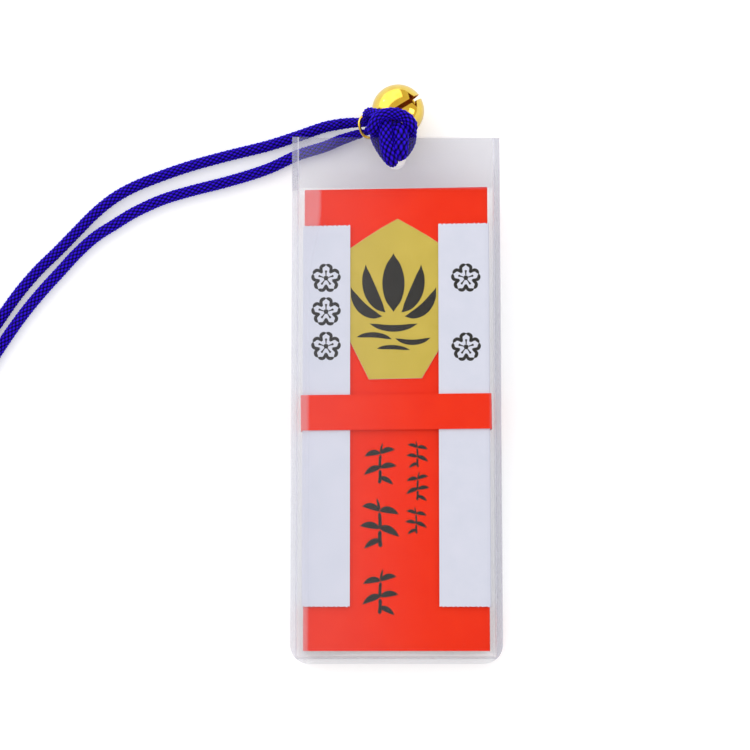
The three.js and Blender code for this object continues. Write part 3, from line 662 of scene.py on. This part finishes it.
# Bamboo: a short stalk with its leaves, in two columns on the red paper
BAMBOO = [
    [(-0.1, -3.3), (0.1, -2.2), (0.0, -1.0), (0.7, 0.5, 0.6)],
    [(0.0, -0.7), (-0.05, 0.4), (0.1, 1.5), (0.6, 0.45, 0.5)],
    [(0.1, 1.8), (0.2, 2.7), (0.45, 3.4), (0.4, 0.35, 0.15)],
    [(0.1, -0.8), (-0.9, -0.3), (-2.7, -1.9), (0.2, 1.05, 0.1)],
    [(0.1, -0.8), (1.1, 0.1), (2.8, -0.4), (0.2, 0.95, 0.1)],
    [(0.1, 1.6), (-1.0, 2.3), (-2.6, 1.2), (0.2, 0.95, 0.1)],
    [(0.1, 1.6), (1.0, 2.7), (2.5, 2.3), (0.2, 0.9, 0.1)],
    [(-0.1, -2.4), (0.9, -2.2), (2.2, -3.5), (0.2, 0.85, 0.1)],
]
TURNED_BAMBOO = [[*((-x, y) for x, y in points), widths] for *points, widths in BAMBOO]
ink_on(red_sheet, red_outer, [
    (BAMBOO, (-0.0024, -0.0069), 0.00088), (TURNED_BAMBOO, (-0.0024, -0.0156), 0.00106),
    (BAMBOO, (-0.0024, -0.0256), 0.00096), (TURNED_BAMBOO, (0.0031, -0.0055), 0.00058),
    (BAMBOO, (0.0031, -0.0102), 0.00062), (TURNED_BAMBOO, (0.0029, -0.0152), 0.00058),
])

# Gold plaque: a tablet of gold-faced paper with a pointed head, tucked under the flaps. It
# was cut by hand, so its two sides differ a little, and its cut edge shows the white core.
plaque = bmesh.new()
plaque_outline = [
    (-0.00402, 0.00552), (0.00377, 0.00571), (0.0086, 0.0138), (0.0086, 0.0243),
    (0.0066, 0.0257), (0.0048, 0.0269), (0.0026, 0.0282), (0.00023, 0.02953),
    (-0.0023, 0.0281), (-0.0046, 0.0266), (-0.0066, 0.0252), (-0.0086, 0.0239), (-0.0086, 0.0147),
]
CORE_SHOWN = 0.00003
plaque_middle = Vector((0, 0.0176, 0))
tablet = plaque.faces.new([plaque.verts.new((x, y, plaque_inner)) for x, y in plaque_outline])
rise = bmesh.ops.extrude_face_region(plaque, geom=[tablet])["geom"]
raised = [v for v in rise if isinstance(v, bmesh.types.BMVert)]
for vert in raised:
    inward = (plaque_middle - vert.co).normalized() * CORE_SHOWN
    vert.co += Vector((inward.x, inward.y, PLAQUE_PAPER))
bmesh.ops.recalc_face_normals(plaque, faces=plaque.faces)
for face in plaque.faces:
    face.material_index = 0 if face.normal.z > 0.9 else 1
bmesh.ops.transform(plaque, matrix=laid, verts=plaque.verts)
plaque_mesh = bpy.data.meshes.new("plaque")
plaque.to_mesh(plaque_mesh)
plaque.free()
plaque_sides = [polygon.material_index for polygon in plaque_mesh.polygons]
plaque_sheet = put_in_scene("plaque", plaque_mesh, "packet", gold_paper, ["gold_plaque"])
plaque_mesh.materials.append(white_paper)
plaque_mesh.polygons.foreach_set("material_index", plaque_sides)

# Lotus: a flower over water, in the middle of the plaque
LOTUS = [
    [(0, -1.7), (0, 2.6), (0, 7.0), (0.5, 3.3, 0.2)],
    *both_sides([
        [(1.2, -1.8), (4.0, 0.5), (4.1, 5.3), (0.4, 2.0, 0.2)],
        [(1.7, -2.4), (5.1, -2.2), (6.3, 1.9), (0.4, 1.6, 0.2)],
    ]),
    [(-3.5, -3.5), (0, -4.9), (3.5, -3.5), (0.3, 1.0, 0.3)],
    [(-5.4, -5.5), (-2.7, -4.7), (-0.3, -5.8), (0.3, 0.8, 0.3)],
    [(0.3, -5.7), (2.9, -6.9), (5.4, -5.6), (0.3, 0.8, 0.3)],
    [(-2.4, -7.2), (0, -6.7), (2.4, -7.4), (0.3, 0.65, 0.2)],
]
ink_on(plaque_sheet, plaque_inner + PLAQUE_PAPER, [(LOTUS, (-0.0004, 0.0173), 0.001)])

# White wrapper: a narrower white sheet round the packet, whose two flaps hold the plaque
# at its sides. Its ends are cut by hand and not quite clean.
LEFT_FLAP_EDGE = -0.0068
RIGHT_FLAP_EDGE = 0.00625
WHITE_FROM_FOOT = 0.0064
WHITE_FROM_HEAD = 0.0055
white_side = white_half - PAPER / 2
flap_level = flap_outer - PAPER / 2
white_back_level = -white_back_outer + PAPER / 2
white_sheet = folded_paper(
    "flap_wrapper", [
        (LEFT_FLAP_EDGE, flap_level), (-white_side, flap_level), (-white_side, white_back_level),
        (white_side, white_back_level), (white_side, flap_level), (RIGHT_FLAP_EDGE, flap_level),
    ],
    packet_foot + WHITE_FROM_FOOT, packet_head - WHITE_FROM_HEAD,
    white_paper, "white_wrapper", rough_cut=0.00012, head_slant=0.0164,
)

# Plum blossoms: three on the left flap and two on the right one
BLOSSOM = [[(-0.35, 0), (0, 0.02), (0.35, 0), (0.5, 0.7, 0.5)]]
for petal in range(5):
    heading = math.radians(90 + 72 * petal)
    for lean in (-1, 1):
        ways = (heading + lean * math.radians(31), heading + lean * math.radians(33), heading)
        rim = [
            (reach * math.cos(way), reach * math.sin(way))
            for reach, way in zip((0.95, 2.25, 2.05), ways)
        ]
        BLOSSOM.append([*rim, (0.3, 0.5, 0.42)])
    stamen = [(reach * math.cos(heading), reach * math.sin(heading)) for reach in (0.35, 0.8, 1.2)]
    BLOSSOM.append([*stamen, (0.2, 0.2, 0.45)])
BLOSSOM_SIZE = 0.00098
BLOSSOM_PLACES = [
    (-0.01038, 0.02055), (-0.01036, 0.01555), (-0.01035, 0.0104),
    (0.0103, 0.0206), (0.0103, 0.0103),
]
ink_on(white_sheet, flap_outer, [(BLOSSOM, place, BLOSSOM_SIZE) for place in BLOSSOM_PLACES])

# Red band: a strip of the red paper that closes the packet, a little askew
BAND_WIDTH = 0.0052
BAND_FROM_FOOT = 0.0322
band_foot = packet_foot + BAND_FROM_FOOT
folded_paper(
    "closing_band", wrapped(band_half, band_outer, band_back_outer, band_lap_outer),
    band_foot, band_foot + BAND_WIDTH, red_paper, "red_band",
    turn=math.radians(0.6),
)

# Sleeve: two clear soft films, welded along both sides and the foot, with a punched hole
# near the mouth. Each swells over the packet and is faintly milky where it lies free.
FILM = 0.00025
WELD = 0.0009
WELD_GAP = 0.00006
MOUTH_GAP = 0.0003
SLEEVE_LENGTH = 0.078
SLEEVE_HALF = 0.0155
CORNER_RADIUS = 0.0028
HOLE_RADIUS = 0.0016
HOLE_FROM_MOUTH = 0.00298
HOLE_ASIDE = -0.00003
SLEEVE_PAST_PACKET = 0.0019
POCKET_FROM_FOOT = 0.00126
POCKET_PAST_PACKET = 0.00194
POCKET_TAPER = 0.00288
MOUTH_OPENING = 0.0012
RIPPLE = 0.00004
CURL_HEIGHT = 0.0005
CURL_FROM_FOOT = 0.071
CURL_FROM_MIDDLE = 0.0105
sleeve_foot = packet_foot - SLEEVE_PAST_PACKET
weld_half = SLEEVE_HALF - WELD
pocket_half = band_half + LAYER_GAP
pocket_foot = sleeve_foot + POCKET_FROM_FOOT
pocket_head = packet_head + POCKET_PAST_PACKET
taper_head = pocket_head + POCKET_TAPER


def arc(middle, radius, start, end, steps):
    """Points on an arc, from one angle to the other, in degrees."""
    angles = [math.radians(start + (end - start) * i / steps) for i in range(steps + 1)]
    return [(middle[0] + radius * math.cos(a), middle[1] + radius * math.sin(a)) for a in angles]


def stations(*runs):
    """Places from run to run, each run given as its start and its number of steps."""
    places = []
    for (start, count), (end, _) in zip(runs, runs[1:]):
        places += [start + (end - start) * i / count for i in range(count)]
    return np.array(places + [runs[-1][0]])


def eased(value, low, high):
    """A smooth step from 0 at the low value to 1 at the high one."""
    share = np.clip((value - low) / (high - low), 0, 1)
    return share * share * (3 - 2 * share)


film_columns = stations(
    (-SLEEVE_HALF - WELD, 3), (-weld_half - 0.0001, 8), (-pocket_half + 0.0001, 44),
    (pocket_half - 0.0001, 8), (weld_half + 0.0001, 3), (SLEEVE_HALF + WELD, 0),
)
film_rows = stations(
    (sleeve_foot - WELD, 4), (sleeve_foot + WELD - 0.0001, 7), (pocket_foot + 0.0001, 70),
    (pocket_head - 0.0001, 12), (taper_head + 0.0001, 8), (sleeve_foot + SLEEVE_LENGTH + WELD, 0),
)


def film_height(x, y, depth):
    """How far the film's inner side stands from the weld, over a pocket of that depth."""
    across = eased(-abs(x), -weld_half, -pocket_half)
    pocket = across * eased(y, sleeve_foot + WELD, pocket_foot) * (1 - eased(y, pocket_head, taper_head))
    mouth = eased(-abs(x), -weld_half, MOUTH_OPENING - weld_half)
    mouth *= eased(y, packet_head, taper_head)
    level = WELD_GAP / 2 + (MOUTH_GAP - WELD_GAP) / 2 * mouth
    ripple = RIPPLE * pocket * (1 + math.sin(170 * x + 60 * y) * math.sin(110 * y - 90 * x + 1))
    return level + (depth - WELD_GAP / 2) * pocket + ripple


def mouth_curl(x, y):
    """The curl of both films at the mouth's left corner."""
    towards_mouth = eased(y, sleeve_foot + CURL_FROM_FOOT, sleeve_foot + SLEEVE_LENGTH)
    return CURL_HEIGHT * towards_mouth * eased(-x, CURL_FROM_MIDDLE, SLEEVE_HALF)


def film_piece(name, depth, side, material, node):
    """A film on one side of the weld; side is 1 for the front and -1 for the back."""
    sheet = bmesh.new()
    columns, rows = len(film_columns) - 1, len(film_rows) - 1
    bmesh.ops.create_grid(sheet, x_segments=columns, y_segments=rows, size=0.5)
    for vert in sheet.verts:
        x = film_columns[round((vert.co.x + 0.5) * columns)]
        y = film_rows[round((vert.co.y + 0.5) * rows)]
        vert.co = (x, y, side * film_height(x, y, depth))
    if side < 0:
        bmesh.ops.reverse_faces(sheet, faces=sheet.faces)
    mesh = bpy.data.meshes.new(name)
    sheet.to_mesh(mesh)
    sheet.free()
    foot, head = sleeve_foot, sleeve_foot + SLEEVE_LENGTH
    outline = [
        (-SLEEVE_HALF, head),
        *arc((-SLEEVE_HALF + CORNER_RADIUS, foot + CORNER_RADIUS), CORNER_RADIUS, 180, 270, 10),
        *arc((SLEEVE_HALF - CORNER_RADIUS, foot + CORNER_RADIUS), CORNER_RADIUS, 270, 360, 10),
        (SLEEVE_HALF, head),
    ]
    trim = cutter(outline, -4 * bell_radius, 4 * bell_radius)
    hole_middle = (HOLE_ASIDE, head - HOLE_FROM_MOUTH)
    punch = cutter(arc(hole_middle, HOLE_RADIUS, 0, 355, 71), -5 * bell_radius, 5 * bell_radius)
    mesh = with_modifiers(mesh, [
        ("SOLIDIFY", {"thickness": FILM, "offset": 1, "use_even_offset": True}),
        ("BOOLEAN", {"object": trim, "operation": "INTERSECT", "solver": "EXACT"}),
        ("BOOLEAN", {"object": punch, "operation": "DIFFERENCE", "solver": "EXACT"}),
    ])
    bpy.data.objects.remove(trim)
    bpy.data.objects.remove(punch)
    for vert in mesh.vertices:
        vert.co.z += mouth_curl(vert.co.x, vert.co.y)
    mesh.transform(laid)
    return put_in_scene(name, mesh, "sleeve", material, [node], 32)


# The film is clear over the paper, where a faint haze thins from left to right, a painted glare
# of the light from the left. It is milky in the margins, where it lies free, and greyer there,
# partly painted shade under it. Near the mouth it is darkened, a painted shade, and pale on its
# left, a painted highlight; a pale gleam, a painted highlight, runs down its left side, and its
# welds show as lines. The haze is how much of the film is seen, and its tone is how pale it is
# there; both also carry painted shade and painted highlights.
film, shader, nodes, links = new_material("film", Roughness=0.18, IOR=1.5)
where = add_node(nodes, "ShaderNodeTexCoord")
flat = add_node(nodes, "ShaderNodeMapping", vector_type="TEXTURE")
flat.inputs["Location"].default_value = packet_middle
flat.inputs["Rotation"].default_value = (slant, 0, 0)
places = add_node(nodes, "ShaderNodeSeparateXYZ")
width = add_node(nodes, "ShaderNodeMath", operation="ABSOLUTE")
links.new(where.outputs["Object"], flat.inputs["Vector"])
links.new(flat.outputs["Vector"], places.inputs["Vector"])
links.new(places.outputs["X"], width.inputs[0])
across, lengthways, aside = places.outputs["X"], places.outputs["Y"], width.outputs[0]


def ramp(value, low, high, to_low, to_high):
    """A smooth change of a value between two places."""
    node = add_node(
        nodes, "ShaderNodeMapRange", interpolation_type="SMOOTHSTEP",
        From_Min=low, From_Max=high, To_Min=to_low, To_Max=to_high,
    )
    links.new(value, node.inputs["Value"])
    return node.outputs["Result"]


def combined(operation, first, second):
    """Two values joined by one step of arithmetic."""
    node = add_node(nodes, "ShaderNodeMath", operation=operation)
    for socket, value in zip(node.inputs, (first, second)):
        if isinstance(value, float):
            socket.default_value = value
        else:
            links.new(value, socket)
    return node.outputs[0]


def band_of(value, middle, half):
    """A soft-edged band round a place, 1 in its middle."""
    rising = ramp(value, middle - 1.6 * half, middle - 0.4 * half, 0.0, 1.0)
    falling = ramp(value, middle + 0.4 * half, middle + 1.6 * half, 1.0, 0.0)
    return combined("MULTIPLY", rising, falling)


SIDE_FADE = (PACKET_HALF - 0.0001, PACKET_HALF + 0.0004)
HEAD_FADE = (packet_head - 0.0004, packet_head + 0.0001)
FOOT_FADE = (packet_foot - 0.0005, packet_foot + 0.0002)
WELD_FADE = (weld_half - 0.0001, weld_half + 0.0001)
WELD_LINE_HALF = 0.00014

# Over the packet the haze thins from left to right: a painted glare, lighter on the side the light comes
# from.
over_packet = ramp(across, -0.0135, 0.008, 0.025, 0.001)
beside = ramp(aside, *SIDE_FADE, 0.0, 0.08)
# Past the packet's head, near the mouth, the film is darkened: painted shade.
past_head = ramp(lengthways, *HEAD_FADE, 0.0, 1.0)
past_foot = ramp(lengthways, *FOOT_FADE, 0.08, 0.0)
# The gleams are painted highlights: a wide one on the left near the mouth, and a narrow one down the
# packet's left edge.
wide_gleam = ramp(across, -0.0148, -0.004, 0.34, 0.0)
gleam_edge = ramp(lengthways, 0.02, 0.031, 0.0129, 0.0112)
gleam = ramp(combined("ADD", across, gleam_edge), -0.0005, 0.0005, 1.0, 0.0)
short_of_head = ramp(lengthways, packet_head - 0.0004, packet_head, 1.0, 0.0)
gleam = combined("MULTIPLY", gleam, short_of_head)
weld_strip = ramp(aside, *WELD_FADE, 0.0, 1.0)
side_weld = band_of(aside, weld_half, WELD_LINE_HALF)
foot_weld = band_of(lengthways, sleeve_foot + WELD, WELD_LINE_HALF)
lines = combined("MAXIMUM", side_weld, foot_weld)

haze_shade_and_gleam = combined("MAXIMUM", over_packet, combined("MAXIMUM", beside, past_foot))
for layer, share in ((past_head, 0.1), (gleam, 0.15), (weld_strip, 0.22), (lines, 0.3)):
    haze_shade_and_gleam = combined("MAXIMUM", haze_shade_and_gleam, combined("MULTIPLY", layer, share))

# Beside the packet the tone is greyer: the film is milky there, and the grey is partly painted shade
# under it.
tone_shade_and_gleam = ramp(aside, *SIDE_FADE, 0.85, 0.5)
# Past the head the tone goes dark: painted shade near the mouth.
tone_shade_and_gleam = combined("MULTIPLY", tone_shade_and_gleam, ramp(lengthways, *HEAD_FADE, 1.0, 0.14))
# The gleams raise the tone to pale: painted highlights.
for layer, share in ((weld_strip, 0.6), (wide_gleam, past_head), (gleam, 2.5), (lines, 0.95)):
    tone_shade_and_gleam = combined("MAXIMUM", tone_shade_and_gleam, combined("MULTIPLY", layer, share))

# The dark tone is painted shade; the pale tone is the milky film and, in the gleams, painted highlight.
tones(tone_shade_and_gleam, shader, (0, (0.05, 0.03, 0.2, 1)), (1, (0.86, 0.86, 0.95, 1)))
links.new(haze_shade_and_gleam, shader.inputs["Alpha"])
bumps(grain(shader, 120, 1), shader, 0.25, 0.0003)

film_piece("front_film", band_outer + LAYER_GAP, 1, film, "sleeve_front_film")
film_piece("back_film", band_lap_outer + LAYER_GAP, -1, film, "sleeve_back_film")

# Surface: a plain white table, which the camera sees as white where no shadow falls
TABLE_HALF = 1.5
TABLE_DROP = 0.00002
table = bmesh.new()
bmesh.ops.create_grid(table, x_segments=1, y_segments=1, size=TABLE_HALF)
bmesh.ops.translate(table, vec=(0, 0, -TABLE_DROP), verts=table.verts)
table_mesh = bpy.data.meshes.new("table")
table.to_mesh(table_mesh)
table.free()
table_top = bpy.data.objects.new("table", table_mesh)
bpy.context.scene.collection.objects.link(table_top)
table_white, shader, nodes, links = new_material(
    "table_white", Base_Color=(0.93, 0.93, 0.93, 1), Roughness=0.9, Specular_IOR_Level=0.0,
    Emission_Color=(1, 1, 1, 1),
)
ray = add_node(nodes, "ShaderNodeLightPath")
seen = add_node(nodes, "ShaderNodeMath", operation="MULTIPLY")
seen.inputs[1].default_value = 0.3
links.new(ray.outputs["Is Camera Ray"], seen.inputs[0])
links.new(seen.outputs[0], shader.inputs["Emission Strength"])
table_mesh.materials.append(table_white)

# Light: an even pale room, which is a little darker and warmer in mirrors, and three soft
# lamps: a large one behind to the left, which the bell shows as its pale side, a smaller one
# to the right, and a little one low on the left.
room = bpy.data.worlds.new("room")
room.use_nodes = True
bpy.context.scene.world = room
nodes, links = room.node_tree.nodes, room.node_tree.links
air = nodes["Background"]
ray = add_node(nodes, "ShaderNodeLightPath")
in_mirrors = ray.outputs["Is Glossy Ray"]
tones(in_mirrors, air, (0, (1, 1, 1, 1)), (1, (1.0, 0.84, 0.45, 1)), socket="Color")
seen = add_node(nodes, "ShaderNodeMapRange", To_Min=0.78, To_Max=1.0)
mirrored = add_node(nodes, "ShaderNodeMapRange", To_Min=0.0, To_Max=-0.1)
level = add_node(nodes, "ShaderNodeMath", operation="ADD")
links.new(ray.outputs["Is Camera Ray"], seen.inputs["Value"])
links.new(in_mirrors, mirrored.inputs["Value"])
links.new(seen.outputs["Result"], level.inputs[0])
links.new(mirrored.outputs["Result"], level.inputs[1])
links.new(level.outputs["Value"], air.inputs["Strength"])

LAMP_DISTANCE = 0.38
for name, way, width, height, energy in (
    ("left_lamp", (-0.533, 0.693, 0.485), 0.76, 0.46, 1.05),
    ("right_lamp", (0.88, -0.16, 0.44), 0.10, 0.16, 0.12),
    ("small_lamp", (-0.811, 0.499, 0.302), 0.04, 0.04, 0.025),
):
    lamp_data = bpy.data.lights.new(name, "AREA")
    lamp_data.shape = "RECTANGLE"
    lamp_data.size = width
    lamp_data.size_y = height
    lamp_data.energy = energy
    lamp = bpy.data.objects.new(name, lamp_data)
    lamp.location = bell_middle + Vector(way) * LAMP_DISTANCE
    lamp.rotation_euler = (-Vector(way)).to_track_quat("-Z", "Y").to_euler()
    bpy.context.scene.collection.objects.link(lamp)

bpy.context.scene.view_settings.view_transform = "Standard"
